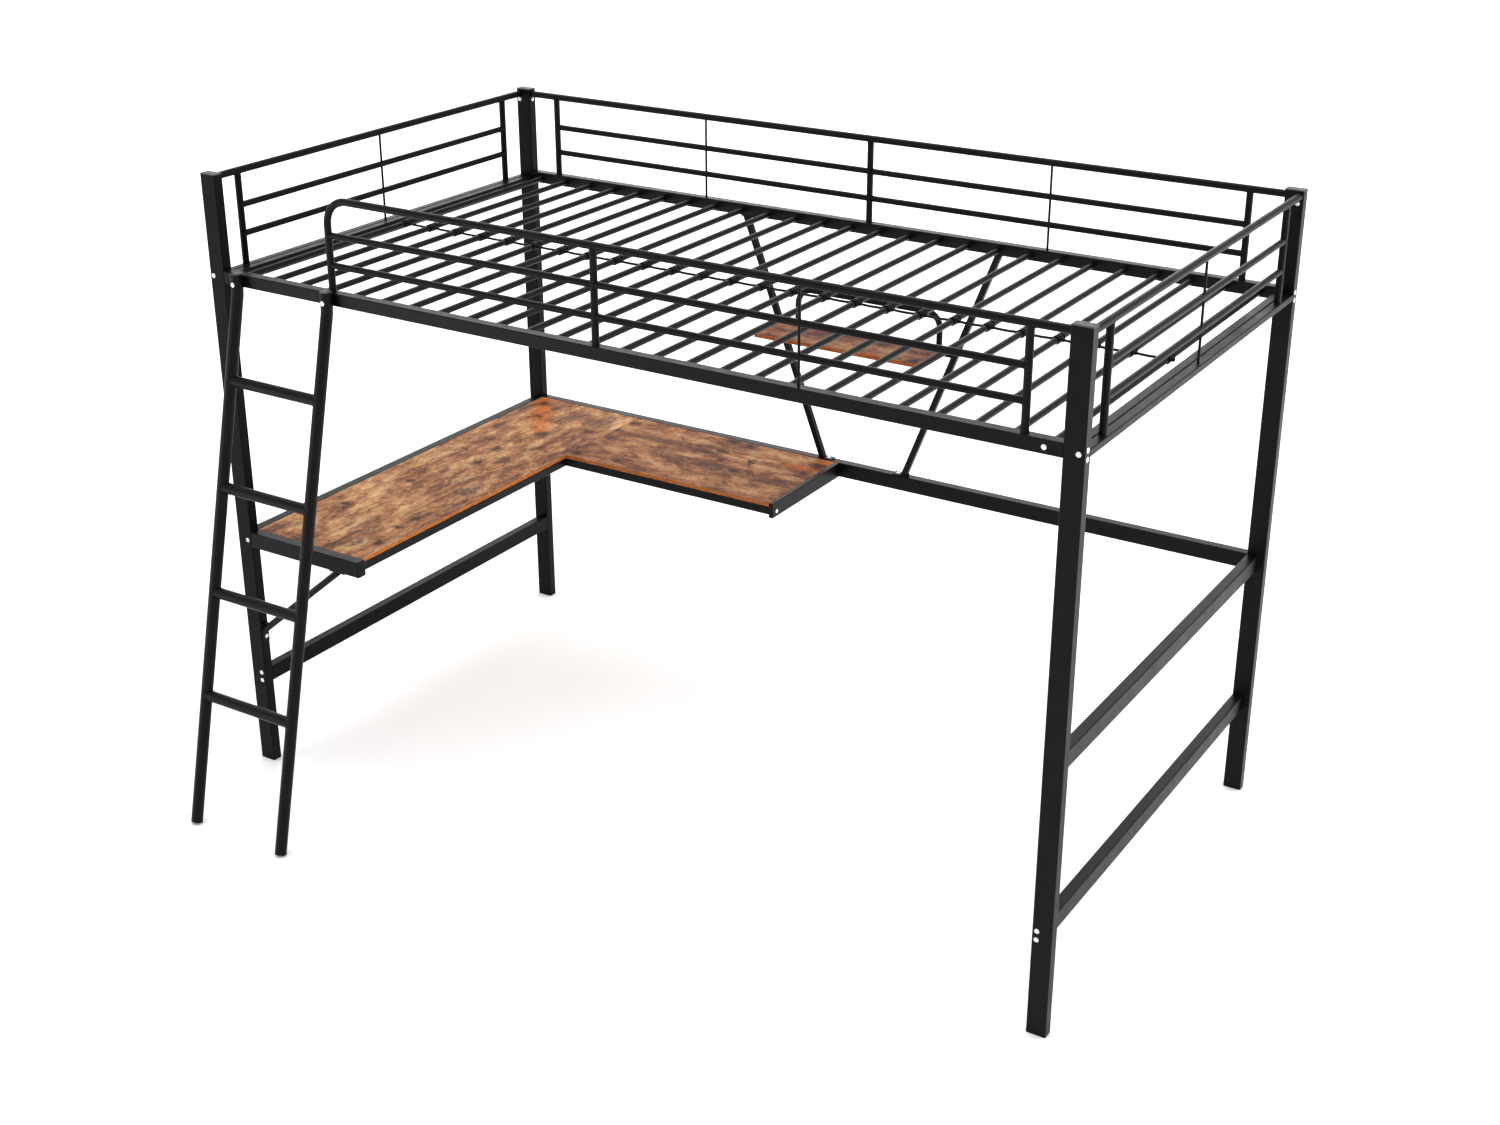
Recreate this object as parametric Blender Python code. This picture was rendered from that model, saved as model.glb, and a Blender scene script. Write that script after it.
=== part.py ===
# Loft bed with a desk and a shelf beneath the deck: tubular steel frame, round slats, wood panels.
# Metres, +Z up. +X runs to the right end of the bed, +Y to the back. The sizes below are taken
# from the middle of the four posts; an empty then moves the whole bed so that the origin is on
# the floor at the centre of its footprint, which takes in the sloping ladder.
import math

import bmesh
import bpy
import numpy as np
from mathutils import Vector

for old in list(bpy.data.objects):
    bpy.data.objects.remove(old, do_unlink=True)

# ---------------------------------------------------------------- driving sizes
HALF_L = 0.995            # outer face of the end posts from the middle
HALF_W = 0.5415           # outer face of the front and back posts from the middle
HEIGHT = 1.380            # top of the post caps
GAP = 0.0003              # clearance left between pieces that touch

POST_X = 0.040            # post section along the bed
POST_Y = 0.024            # post section across the bed
CAP_T = 0.0024            # thickness of a post cap
CAP_LIP = 0.0006          # how far a cap stands past its post
CORNER_R = 0.0022         # rounded corner of the rectangular tube
IN_X = HALF_L - POST_X    # inner faces of the posts
IN_Y = HALF_W - POST_Y

TUBE_W = 0.024            # narrow side of the frame tube
TUBE_H = 0.036            # tall side of the frame tube
DECK_TOP = 1.175          # top of the side rails
SIDE_H = 0.027            # height of the side rails
LOW_TOP = 0.236           # top of the low stretchers
DESK_TOP = 0.5765         # top of the desk rails and of the desk panels

END_TOP = 1.164           # top of the end rails
END_W = 0.0195            # width of an end rail and of the guard foot tube beside it
END_H = 0.025             # height of an end rail
FOOT_H = 0.014            # height of the guard foot tube

GUARD_Z = 1.3665          # centre of the guard top rails
GUARD_R = 0.0077          # guard top rail radius
UPRIGHT_R = 0.0074        # guard upright radius
MIDDLE_R = 0.0074         # radius of the middle upright of the long guards
BAR_R = 0.0068            # guard middle rail radius
ROD_R = 0.0027            # thin tie rod radius
BAR_ZS = (1.2925, 1.2305) # centres of the guard middle rails
END_UPRIGHT_Y = 0.446
LONG_UPRIGHT_X = 0.8805
LONG_ROD_X = 0.4425
FRONT_GUARD_X = -0.6585   # bent left end of the front guard
GUARD_BEND = 0.052        # bend radius of that end

SLATS = 26
SLAT_R = 0.0065
SLAT_Z = 1.1605
SLAT_FIRST_X = -0.9263
SLAT_LAST_X = 0.9247

CLIP_R = 0.0090           # strap clip radius around a slat
CLIP_L = 0.026            # strap clip length along a slat
CLIP_Y = 0.008            # the strap runs just behind the middle of the slats
CORD_R = 0.0020           # cord between neighbouring clips
CORD_SAG = 0.0045

PANEL_T = 0.009
DESK_LEFT_X = -0.650      # inner edge of the left desk panel
DESK_RIGHT_X = -0.0714    # right edge of the back desk panel
DESK_FRONT_Y = 0.212      # front edge of the back desk panel
RIGHT_BAR_W = 0.0115      # width of the bar closing the right end of the desk
SUPPORT_W = 0.020         # tubes of the frame beneath the desk panels
SUPPORT_H = 0.020

LEG_TOP_X = 0.329         # shelf legs lean in towards the desk
LEG_FOOT_X = 0.111
LEG_S = 0.0143
SHELF_TOP = 0.911
SHELF_HALF = 0.2194
SHELF_FRONT_Y = 0.3865
SHELF_BACK_Y = 0.5145
HOOP_X = 0.1875
HOOP_Y = 0.5340            # the hoop stands against the back of its cross rail
HOOP_TOP = 0.988
HOOP_BEND = 0.036
HOOP_R = 0.0072

LADDER_LEFT_X = -0.905
LADDER_RIGHT_X = -0.655
LADDER_R = 0.0128
LADDER_FOOT_Y = -0.8325
LADDER_SLOPE = 0.2437     # run of the ladder per unit of rise
LADDER_TOP = 1.180
LADDER_BEND = 0.090
RUNG_R = 0.0122
RUNG_ZS = (0.2863, 0.5113, 0.7355, 0.959)


# ---------------------------------------------------------------- materials
def material(name, colour, metallic, roughness):
    """Make a plain Principled material."""
    mat = bpy.data.materials.new(name)
    mat.use_nodes = True
    shader = mat.node_tree.nodes["Principled BSDF"]
    shader.inputs["Base Color"].default_value = (*colour, 1.0)
    shader.inputs["Metallic"].default_value = metallic
    shader.inputs["Roughness"].default_value = roughness
    mat.diffuse_color = (*colour, 1.0)
    return mat


STEEL = (0.018, 0.018, 0.019)
WOOD = (0.34, 0.17, 0.075)
PLASTIC = (0.012, 0.012, 0.012)


bed = bpy.data.objects.new("bed", None)
bpy.context.collection.objects.link(bed)


# ---------------------------------------------------------------- builders
def finish(name, mesh, colour, metallic, roughness, place=(0, 0, 0)):
    """Shade a mesh by angle, give it its own material and put it in the scene."""
    mesh.polygons.foreach_set("use_smooth", [True] * len(mesh.polygons))
    mesh.set_sharp_from_angle(angle=math.radians(38))
    obj = bpy.data.objects.new(name, mesh)
    mesh.materials.clear()
    mesh.materials.append(material(name + "_finish", colour, metallic, roughness))
    for face in mesh.polygons:
        face.material_index = 0
    bpy.context.collection.objects.link(obj)
    obj.parent = bed
    obj.location = place
    return obj


def steel(name, mesh, place=(0, 0, 0)):
    return finish(name, mesh, STEEL, 0.6, 0.42, place)


def wood(name, mesh, place=(0, 0, 0)):
    return finish(name, mesh, WOOD, 0.0, 0.5, place)


def plastic(name, mesh, place=(0, 0, 0)):
    return finish(name, mesh, PLASTIC, 0.0, 0.5, place)


def to_mesh(bm, name):
    """Turn a bmesh into a mesh with its faces pointing out."""
    bmesh.ops.recalc_face_normals(bm, faces=bm.faces)
    mesh = bpy.data.meshes.new(name)
    bm.to_mesh(mesh)
    bm.free()
    return mesh


def ring_points(width, height, radius, steps):
    """Outline of a rectangle with rounded corners, anticlockwise."""
    points = []
    corners = ((1, 1, 0), (-1, 1, 90), (-1, -1, 180), (1, -1, 270))
    for sx, sy, start in corners:
        cx = sx * (width / 2 - radius)
        cy = sy * (height / 2 - radius)
        for i in range(steps + 1):
            a = math.radians(start + 90 * i / steps)
            points.append((cx + radius * math.cos(a), cy + radius * math.sin(a)))
    return points


def loft(bm, rings):
    """Skin a list of vertex rings into one closed body with flat ends."""
    loops = [[bm.verts.new(p) for p in ring] for ring in rings]
    count = len(loops[0])
    for a, b in zip(loops, loops[1:]):
        for i in range(count):
            j = (i + 1) % count
            bm.faces.new((a[i], a[j], b[j], b[i]))
    bm.faces.new(list(reversed(loops[0])))
    bm.faces.new(loops[-1])


AXES = {
    "x": (Vector((0, 1, 0)), Vector((0, 0, 1)), Vector((1, 0, 0))),
    "y": (Vector((1, 0, 0)), Vector((0, 0, 1)), Vector((0, 1, 0))),
    "z": (Vector((1, 0, 0)), Vector((0, 1, 0)), Vector((0, 0, 1))),
}


def bar_rings(axis, width, height, length, radius=CORNER_R, centre=(0, 0, 0), ease=0.0):
    """Rings of a straight rectangular bar; ease rounds off its two end edges."""
    side, up, along = AXES[axis]
    middle = Vector(centre)
    stations = [(-length / 2, 0.0), (length / 2, 0.0)]
    if ease > 0:
        stations = []
        for sign in (-1, 1):
            steps = range(4) if sign < 0 else range(3, -1, -1)
            for i in steps:
                a = math.radians(90 * i / 3)
                inset = ease * (1 - math.sin(a))
                stations.append((sign * (length / 2 - ease * (1 - math.cos(a))), inset))
    rings = []
    for position, inset in stations:
        ring = []
        r = max(radius - inset, 0.0002)
        for u, v in ring_points(width - 2 * inset, height - 2 * inset, r, 3):
            ring.append(middle + side * u + up * v + along * position)
        rings.append(ring)
    return rings


def bar_mesh(name, axis, width, height, length, radius=CORNER_R, ease=0.0):
    """A straight rectangular bar centred on its own origin."""
    bm = bmesh.new()
    loft(bm, bar_rings(axis, width, height, length, radius, ease=ease))
    return to_mesh(bm, name)


def bar_between(name, maker, axis, width, height, lo, hi, across, radius=CORNER_R):
    """A bar running from lo to hi along an axis; across gives its two other centre values."""
    length = hi - lo
    middle = (lo + hi) / 2
    place = {"x": (middle, across[0], across[1]),
             "y": (across[0], middle, across[1]),
             "z": (across[0], across[1], middle)}[axis]
    return maker(name, bar_mesh(name, axis, width, height, length, radius), place)


def tube_rings(points, radius, sides, square=False):
    """Rings of a tube swept along a path of points, kept square to the path."""
    path = [Vector(p) for p in points]
    rings = []
    first = (path[1] - path[0]).normalized()
    guide = Vector((0, 1, 0)) if abs(first.y) < 0.9 else Vector((1, 0, 0))
    for i, point in enumerate(path):
        before = (point - path[i - 1]).normalized() if i > 0 else first
        after = (path[i + 1] - point).normalized() if i < len(path) - 1 else before
        tangent = (before + after).normalized()
        stretch = 1.0 / max(tangent.dot(after), 0.5)
        side = (guide - tangent * guide.dot(tangent)).normalized()
        up = tangent.cross(side).normalized()
        if square:
            outline = ring_points(2 * radius, 2 * radius, radius * 0.22, 3)
        else:
            outline = [(radius * math.cos(2 * math.pi * k / sides),
                        radius * math.sin(2 * math.pi * k / sides)) for k in range(sides)]
        bend = after - before
        ring = []
        for u, v in outline:
            offset = side * u + up * v
            if bend.length > 1e-6:
                axis = bend.normalized()
                offset = offset + axis * offset.dot(axis) * (stretch - 1.0)
            ring.append(point + offset)
        rings.append(ring)
    return rings


def round_rings(start, end, radius, sides=20):
    return tube_rings([start, end], radius, sides)


def bend_points(corner, towards_a, towards_b, radius, steps):
    """Points of the arc that rounds a corner between two straight runs."""
    corner = Vector(corner)
    da = (Vector(towards_a) - corner).normalized()
    db = (Vector(towards_b) - corner).normalized()
    half = da.angle(db) / 2
    reach = radius / math.tan(half)
    centre = corner + (da + db).normalized() * (radius / math.sin(half))
    start = corner + da * reach - centre
    end = corner + db * reach - centre
    turn = start.angle(end)
    normal = start.cross(end).normalized()
    points = []
    for i in range(steps + 1):
        a = turn * i / steps
        points.append(centre + start * math.cos(a) + normal.cross(start) * math.sin(a))
    return points


def body(rings, name="body"):
    """A loose object holding one closed body, used while welding."""
    bm = bmesh.new()
    loft(bm, rings)
    obj = bpy.data.objects.new(name, to_mesh(bm, name))
    bpy.context.collection.objects.link(obj)
    return obj


def weld(name, parts, centre):
    """Join several overlapping bodies into a single closed mesh around a centre."""
    base = parts[0]
    for part in parts[1:]:
        step = base.modifiers.new("weld", "BOOLEAN")
        step.operation = "UNION"
        step.solver = "EXACT"
        step.object = part
    bpy.context.view_layer.update()
    graph = bpy.context.evaluated_depsgraph_get()
    mesh = bpy.data.meshes.new_from_object(base.evaluated_get(graph))
    mesh.name = name
    for part in parts:
        bpy.data.objects.remove(part, do_unlink=True)
    bm = bmesh.new()
    bm.from_mesh(mesh)
    bmesh.ops.remove_doubles(bm, verts=bm.verts, dist=0.00001)
    bmesh.ops.dissolve_degenerate(bm, edges=bm.edges, dist=0.00001)
    bmesh.ops.translate(bm, verts=bm.verts, vec=-Vector(centre))
    bmesh.ops.recalc_face_normals(bm, faces=bm.faces)
    bm.to_mesh(mesh)
    bm.free()
    return mesh


# ---------------------------------------------------------------- posts and caps
for side_name, sx in (("left", -1), ("right", 1)):
    for row_name, sy in (("front", -1), ("back", 1)):
        px = sx * (HALF_L - POST_X / 2)
        py = sy * (HALF_W - POST_Y / 2)
        post_top = HEIGHT - CAP_T - GAP
        bar_between("post_" + row_name + "_" + side_name, steel, "z", POST_X, POST_Y,
                    0.0, post_top, (px, py))
        cap_name = "post_cap_" + row_name + "_" + side_name
        bm = bmesh.new()
        rim = bar_rings("z", POST_X + 2 * CAP_LIP, POST_Y + 2 * CAP_LIP, CAP_T,
                        CORNER_R + CAP_LIP)
        shoulder = [Vector((p.x, p.y, p.z - 0.0010)) for p in rim[1]]
        crown = [Vector((p.x * 0.955, p.y * 0.925, p.z)) for p in rim[1]]
        loft(bm, [rim[0], shoulder, crown])
        plastic(cap_name, to_mesh(bm, cap_name), (px, py, HEIGHT - CAP_T / 2))

# ---------------------------------------------------------------- deck rails and stretchers
RAIL_Y = HALF_W - POST_Y / 2
STRETCH_X = IN_X + TUBE_W / 2
RUN_X = IN_X - GAP
RUN_Y = IN_Y - GAP

for row_name, sy in (("front", -1), ("back", 1)):
    bar_between(row_name + "_side_rail", steel, "x", TUBE_W, SIDE_H, -RUN_X, RUN_X,
                (sy * RAIL_Y, DECK_TOP - SIDE_H / 2))

for side_name, sx in (("left", -1), ("right", 1)):
    bar_between(side_name + "_end_rail", steel, "y", END_W, END_H, -RUN_Y, RUN_Y,
                (sx * (IN_X + END_W / 2), END_TOP - END_H / 2))
    bar_between(side_name + "_lower_stretcher", steel, "y", TUBE_W, TUBE_H, -RUN_Y, RUN_Y,
                (sx * STRETCH_X, LOW_TOP - TUBE_H / 2))

bar_between("right_upper_stretcher", steel, "y", TUBE_W, TUBE_H, -RUN_Y, RUN_Y,
            (STRETCH_X, DESK_TOP - TUBE_H / 2))
bar_between("back_stretcher", steel, "x", TUBE_W, TUBE_H, -RUN_X, RUN_X,
            (RAIL_Y, DESK_TOP - TUBE_H / 2))

# ---------------------------------------------------------------- end guards
GUARD_X = HALF_L - END_W / 2
FOOT_Z = END_TOP - FOOT_H / 2
for side_name, sx in (("left", -1), ("right", 1)):
    gx = sx * GUARD_X
    parts = [body(bar_rings("y", END_W - 2 * GAP, FOOT_H, 2 * RUN_Y, 0.002,
                            (gx, 0, FOOT_Z)))]
    parts.append(body(round_rings((gx, -RUN_Y, GUARD_Z), (gx, RUN_Y, GUARD_Z), GUARD_R, 24)))
    for uy in (-END_UPRIGHT_Y, END_UPRIGHT_Y):
        parts.append(body(round_rings((gx, uy, FOOT_Z), (gx, uy, GUARD_Z), UPRIGHT_R)))
    for bz in BAR_ZS:
        parts.append(body(round_rings((gx, -END_UPRIGHT_Y, bz), (gx, END_UPRIGHT_Y, bz),
                                      BAR_R, 16)))
    parts.append(body(round_rings((gx, 0, FOOT_Z), (gx, 0, GUARD_Z), ROD_R, 12)))
    name = side_name + "_guard"
    centre = (gx, 0, (FOOT_Z + GUARD_Z) / 2)
    steel(name, weld(name, parts, centre), centre)

# ---------------------------------------------------------------- long guards
STAND_Z = DECK_TOP + GAP


def long_guard(name, gy, top_path, uprights, bar_lo, bar_hi, rods):
    """Weld a guard that stands on a side rail."""
    parts = [body(tube_rings(top_path, GUARD_R, 24))]
    for ux, radius in uprights:
        parts.append(body(round_rings((ux, gy, STAND_Z), (ux, gy, GUARD_Z), radius)))
    for bz in BAR_ZS:
        parts.append(body(round_rings((bar_lo, gy, bz), (bar_hi, gy, bz), BAR_R, 16)))
    for rx in rods:
        parts.append(body(round_rings((rx, gy, STAND_Z), (rx, gy, GUARD_Z), ROD_R, 12)))
    centre = ((top_path[0][0] + top_path[-1][0]) / 2, gy, (STAND_Z + GUARD_Z) / 2)
    steel(name, weld(name, parts, centre), centre)


# the back guard is two welded halves that meet beside the middle upright
HALF_END = MIDDLE_R + 0.0005
long_guard("back_guard_left", RAIL_Y, [(-RUN_X, RAIL_Y, GUARD_Z), (HALF_END, RAIL_Y, GUARD_Z)],
           ((-LONG_UPRIGHT_X, UPRIGHT_R), (0.0, MIDDLE_R)),
           -LONG_UPRIGHT_X, 0.0, (-LONG_ROD_X,))
long_guard("back_guard_right", RAIL_Y,
           [(HALF_END + GAP, RAIL_Y, GUARD_Z), (RUN_X, RAIL_Y, GUARD_Z)],
           ((LONG_UPRIGHT_X, UPRIGHT_R),),
           MIDDLE_R + GAP, LONG_UPRIGHT_X, (LONG_ROD_X,))

foot = (FRONT_GUARD_X, -RAIL_Y, STAND_Z)
corner = (FRONT_GUARD_X, -RAIL_Y, GUARD_Z)
far = (RUN_X, -RAIL_Y, GUARD_Z)
path = [foot] + bend_points(corner, foot, far, GUARD_BEND, 8) + [far]
long_guard("front_guard", -RAIL_Y, path,
           ((0.0, MIDDLE_R), (LONG_UPRIGHT_X, UPRIGHT_R)),
           FRONT_GUARD_X, LONG_UPRIGHT_X, (LONG_ROD_X,))

# ---------------------------------------------------------------- slats and their strap
SLAT_END = HALF_W - TUBE_W - GAP
slat_xs = np.linspace(SLAT_FIRST_X, SLAT_LAST_X, SLATS)
for i, sx in enumerate(slat_xs):
    name = "slat_%02d" % (i + 1)
    bm = bmesh.new()
    loft(bm, round_rings((0, -SLAT_END, 0), (0, SLAT_END, 0), SLAT_R, 18))
    steel(name, to_mesh(bm, name), (float(sx), 0.0, SLAT_Z))


def clip_rings(cx):
    """Section of one clip: a sleeve around the slat, open so the slat can pass."""
    inner = SLAT_R + GAP
    rings = []
    for y in (CLIP_Y - CLIP_L / 2, CLIP_Y + CLIP_L / 2):
        ring = []
        turns = [math.radians(-76 + 332 * k / 18) for k in range(19)]
        for a in turns:
            ring.append((cx + CLIP_R * math.cos(a), y, SLAT_Z + CLIP_R * math.sin(a)))
        for a in reversed(turns):
            ring.append((cx + inner * math.cos(a), y, SLAT_Z + inner * math.sin(a)))
        rings.append(ring)
    return rings


parts = [body(clip_rings(float(sx))) for sx in slat_xs]
hold = (CLIP_R + SLAT_R + GAP) / 2
for a, b in zip(slat_xs, slat_xs[1:]):
    lo, hi = float(a) + hold, float(b) - hold
    cord = []
    for k in range(5):
        t = k / 4
        cord.append((lo + (hi - lo) * t, CLIP_Y, SLAT_Z - 4 * CORD_SAG * t * (1 - t)))
    parts.append(body(tube_rings(cord, CORD_R, 10)))
centre = (0.0, CLIP_Y, SLAT_Z)
plastic("slat_strap", weld("slat_strap", parts, centre), centre)

# ---------------------------------------------------------------- desk
BAR_Z = DESK_TOP - TUBE_H / 2
PANEL_Z = DESK_TOP - PANEL_T / 2
bar_between("desk_left_rail", steel, "y", TUBE_W, TUBE_H, -RUN_Y, RUN_Y, (-STRETCH_X, BAR_Z))
bar_between("desk_front_bar", steel, "x", TUBE_W, TUBE_H, -RUN_X, DESK_LEFT_X + 0.005,
            (-RAIL_Y, BAR_Z))
RIGHT_BAR_X = DESK_RIGHT_X + GAP + RIGHT_BAR_W / 2
bar_between("desk_right_bar", steel, "y", RIGHT_BAR_W, TUBE_H, DESK_FRONT_Y, RUN_Y,
            (RIGHT_BAR_X, BAR_Z), 0.0015)


def panel(name, x_lo, x_hi, y_lo, y_hi, z):
    """A flat board with slightly eased edges."""
    width, depth = x_hi - x_lo, y_hi - y_lo
    bm = bmesh.new()
    loft(bm, bar_rings("z", width, depth, PANEL_T, 0.0012, ease=0.0007))
    return wood(name, to_mesh(bm, name), ((x_lo + x_hi) / 2, (y_lo + y_hi) / 2, z))


panel("desk_panel_left", -RUN_X, DESK_LEFT_X, -RUN_Y, RUN_Y, PANEL_Z)
panel("desk_panel_back", DESK_LEFT_X + GAP, DESK_RIGHT_X, DESK_FRONT_Y, RUN_Y, PANEL_Z)

# frame of square tube beneath the two panels
S_TOP = DESK_TOP - PANEL_T - GAP
S_Z = S_TOP - SUPPORT_H / 2
HALF_S = SUPPORT_W / 2


def support(axis, lo, hi, across):
    length = hi - lo
    middle = (lo + hi) / 2
    centre = (middle, across, S_Z) if axis == "x" else (across, middle, S_Z)
    return body(bar_rings(axis, SUPPORT_W, SUPPORT_H, length, 0.002, centre))


parts = [
    support("y", -RUN_Y, RUN_Y, DESK_LEFT_X - HALF_S),
    support("y", -RUN_Y, RUN_Y, -RUN_X + HALF_S),
    support("x", -RUN_X + HALF_S, DESK_LEFT_X - HALF_S, -RUN_Y + HALF_S + 0.0005),
    support("x", -RUN_X + HALF_S, DESK_RIGHT_X, RUN_Y - HALF_S - 0.0005),
    support("x", DESK_LEFT_X - HALF_S, DESK_RIGHT_X, DESK_FRONT_Y + HALF_S),
]
centre = (DESK_LEFT_X - HALF_S, 0.0, S_Z)
steel("desk_support_frame", weld("desk_support_frame", parts, centre), centre)

# diagonal brace from the front left post to the front bar
BRACE_FOOT = (-0.9500, 0.3367)
BRACE_HEAD = (-0.7126, 0.5345)
plate_x = -RUN_X + 0.0015
parts = [
    body(round_rings((BRACE_FOOT[0], -RAIL_Y, BRACE_FOOT[1]),
                     (BRACE_HEAD[0], -RAIL_Y, BRACE_HEAD[1]), 0.0076, 18)),
    body(bar_rings("x", 0.018, 0.048, 0.003, 0.003, (plate_x, -RAIL_Y, 0.328))),
    body(bar_rings("z", 0.044, 0.018, 0.003, 0.003,
                   (BRACE_HEAD[0] + 0.004, -RAIL_Y, DESK_TOP - TUBE_H - GAP - 0.0015))),
]
centre = (-0.836, -RAIL_Y, 0.437)
steel("desk_brace", weld("desk_brace", parts, centre), centre)

# ---------------------------------------------------------------- shelf
LEG_LOW = DESK_TOP + GAP
LEG_HIGH = DECK_TOP - SIDE_H - GAP
LEAN = (LEG_TOP_X - LEG_FOOT_X) / (LEG_HIGH - LEG_LOW)
PLATE_T = 0.0025
for side_name, sx in (("left", -1), ("right", 1)):
    rings = []
    for z in (LEG_LOW + 0.0004, LEG_HIGH - 0.0004):
        cx = sx * (LEG_FOOT_X + LEAN * (z - LEG_LOW))
        width = LEG_S * math.hypot(1.0, LEAN)
        outline = ring_points(width, LEG_S, 0.0015, 3)
        rings.append([(cx + u, RAIL_Y + v, z) for u, v in outline])
    parts = [
        body(rings),
        body(bar_rings("z", 0.038, 0.020, PLATE_T, 0.003,
                       (sx * (LEG_FOOT_X - 0.009), RAIL_Y, LEG_LOW + PLATE_T / 2))),
        body(bar_rings("z", 0.038, 0.020, PLATE_T, 0.003,
                       (sx * (LEG_TOP_X - 0.009), RAIL_Y, LEG_HIGH - PLATE_T / 2))),
    ]
    name = "shelf_leg_" + side_name
    centre = (sx * (LEG_FOOT_X + LEG_TOP_X) / 2, RAIL_Y, (LEG_LOW + LEG_HIGH) / 2)
    steel(name, weld(name, parts, centre), centre)

ARM_H = 0.012
ARM_Z = SHELF_TOP - PANEL_T - GAP - ARM_H / 2
ARM_X = 0.150
cross_low = ARM_Z - ARM_H / 2
CROSS_HALF = LEG_FOOT_X + LEAN * (cross_low - LEG_LOW) - LEG_S * math.hypot(1, LEAN) / 2 - 0.0005
parts = [body(bar_rings("x", ARM_H, ARM_H, 2 * CROSS_HALF, 0.0015, (0, RAIL_Y, ARM_Z)))]
for sx in (-1, 1):
    parts.append(body(bar_rings("y", ARM_H, ARM_H - 0.0002, RAIL_Y - 0.435, 0.0015,
                                (sx * ARM_X, (RAIL_Y + 0.435) / 2, ARM_Z))))
left_foot = (-HOOP_X, HOOP_Y, ARM_Z)
left_top = (-HOOP_X, HOOP_Y, HOOP_TOP)
right_top = (HOOP_X, HOOP_Y, HOOP_TOP)
right_foot = (HOOP_X, HOOP_Y, ARM_Z)
path = [left_foot]
path += bend_points(left_top, left_foot, right_top, HOOP_BEND, 8)
path += bend_points(right_top, left_top, right_foot, HOOP_BEND, 8)
path += [right_foot]
parts.append(body(tube_rings(path, HOOP_R, 18)))
centre = (0.0, RAIL_Y, ARM_Z)
steel("shelf_frame", weld("shelf_frame", parts, centre), centre)

panel("shelf_board", -SHELF_HALF, SHELF_HALF, SHELF_FRONT_Y, SHELF_BACK_Y,
      SHELF_TOP - PANEL_T / 2)

# ---------------------------------------------------------------- ladder
LADDER_Y = -(HALF_W + GAP + LADDER_R)
KNEE_Z = (LADDER_Y - LADDER_FOOT_Y) / LADDER_SLOPE
TILT = math.atan(LADDER_SLOPE)
foot_lift = LADDER_R * math.sin(TILT)
parts = []
for lx in (LADDER_LEFT_X, LADDER_RIGHT_X):
    foot = (lx, LADDER_FOOT_Y + LADDER_SLOPE * foot_lift, foot_lift)
    knee = (lx, LADDER_Y, KNEE_Z)
    head = (lx, LADDER_Y, LADDER_TOP)
    path = [foot] + bend_points(knee, foot, head, LADDER_BEND, 4) + [head]
    parts.append(body(tube_rings(path, LADDER_R, 24)))
for rz in RUNG_ZS:
    ry = LADDER_FOOT_Y + LADDER_SLOPE * rz
    parts.append(body(round_rings((LADDER_LEFT_X, ry, rz), (LADDER_RIGHT_X, ry, rz), RUNG_R)))
centre = ((LADDER_LEFT_X + LADDER_RIGHT_X) / 2, (LADDER_FOOT_Y + LADDER_Y) / 2, LADDER_TOP / 2)
steel("ladder", weld("ladder", parts, centre), centre)

# ---------------------------------------------------------------- origin
bpy.context.view_layer.update()
depths = [(obj.matrix_world @ v.co).y for obj in bed.children for v in obj.data.vertices]
bed.location.y = -(min(depths) + max(depths)) / 2
bpy.context.view_layer.update()
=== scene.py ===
# Looks of the loft bed with desk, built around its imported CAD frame.
# Metres, +Z up, +X to the right end of the bed, +Y to the back; every object sits at the origin.
import math

import bmesh
import bpy
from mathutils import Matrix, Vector


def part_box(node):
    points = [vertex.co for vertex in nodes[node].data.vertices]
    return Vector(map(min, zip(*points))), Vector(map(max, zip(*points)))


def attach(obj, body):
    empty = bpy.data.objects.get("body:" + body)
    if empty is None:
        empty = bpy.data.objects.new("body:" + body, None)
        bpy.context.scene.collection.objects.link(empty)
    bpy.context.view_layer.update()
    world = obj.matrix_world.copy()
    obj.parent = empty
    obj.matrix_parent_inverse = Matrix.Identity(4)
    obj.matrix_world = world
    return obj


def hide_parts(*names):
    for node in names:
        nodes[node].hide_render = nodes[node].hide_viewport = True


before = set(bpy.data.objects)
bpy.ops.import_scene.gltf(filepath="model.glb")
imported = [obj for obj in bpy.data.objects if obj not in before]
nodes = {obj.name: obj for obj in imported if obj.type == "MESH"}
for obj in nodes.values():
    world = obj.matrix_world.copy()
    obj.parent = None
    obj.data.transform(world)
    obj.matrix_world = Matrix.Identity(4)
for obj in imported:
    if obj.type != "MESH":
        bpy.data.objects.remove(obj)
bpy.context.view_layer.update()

X = Vector((1, 0, 0))
Y = Vector((0, 1, 0))
Z = Vector((0, 0, 1))

# ---------------------------------------------------------------- camera
CAM_PLACE = (2.1738, -3.3125, 2.3667)
CAM_PITCH = 0.4011        # radians below level
CAM_YAW = 0.5583          # radians from +Y towards -X
CAM_LENS = 48.833         # mm, on a sensor 36 mm wide
CAM_SHIFT_Y = -0.02983
cam_data = bpy.data.cameras.new("camera")
cam_data.sensor_width = 36.0
cam_data.lens = CAM_LENS
cam_data.shift_y = CAM_SHIFT_Y
cam_data.clip_end = 200.0
camera = bpy.data.objects.new("camera", cam_data)
camera.location = CAM_PLACE
camera.rotation_euler = (math.pi / 2 - CAM_PITCH, 0.0, CAM_YAW)
bpy.context.scene.collection.objects.link(camera)
bpy.context.scene.camera = camera


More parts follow.
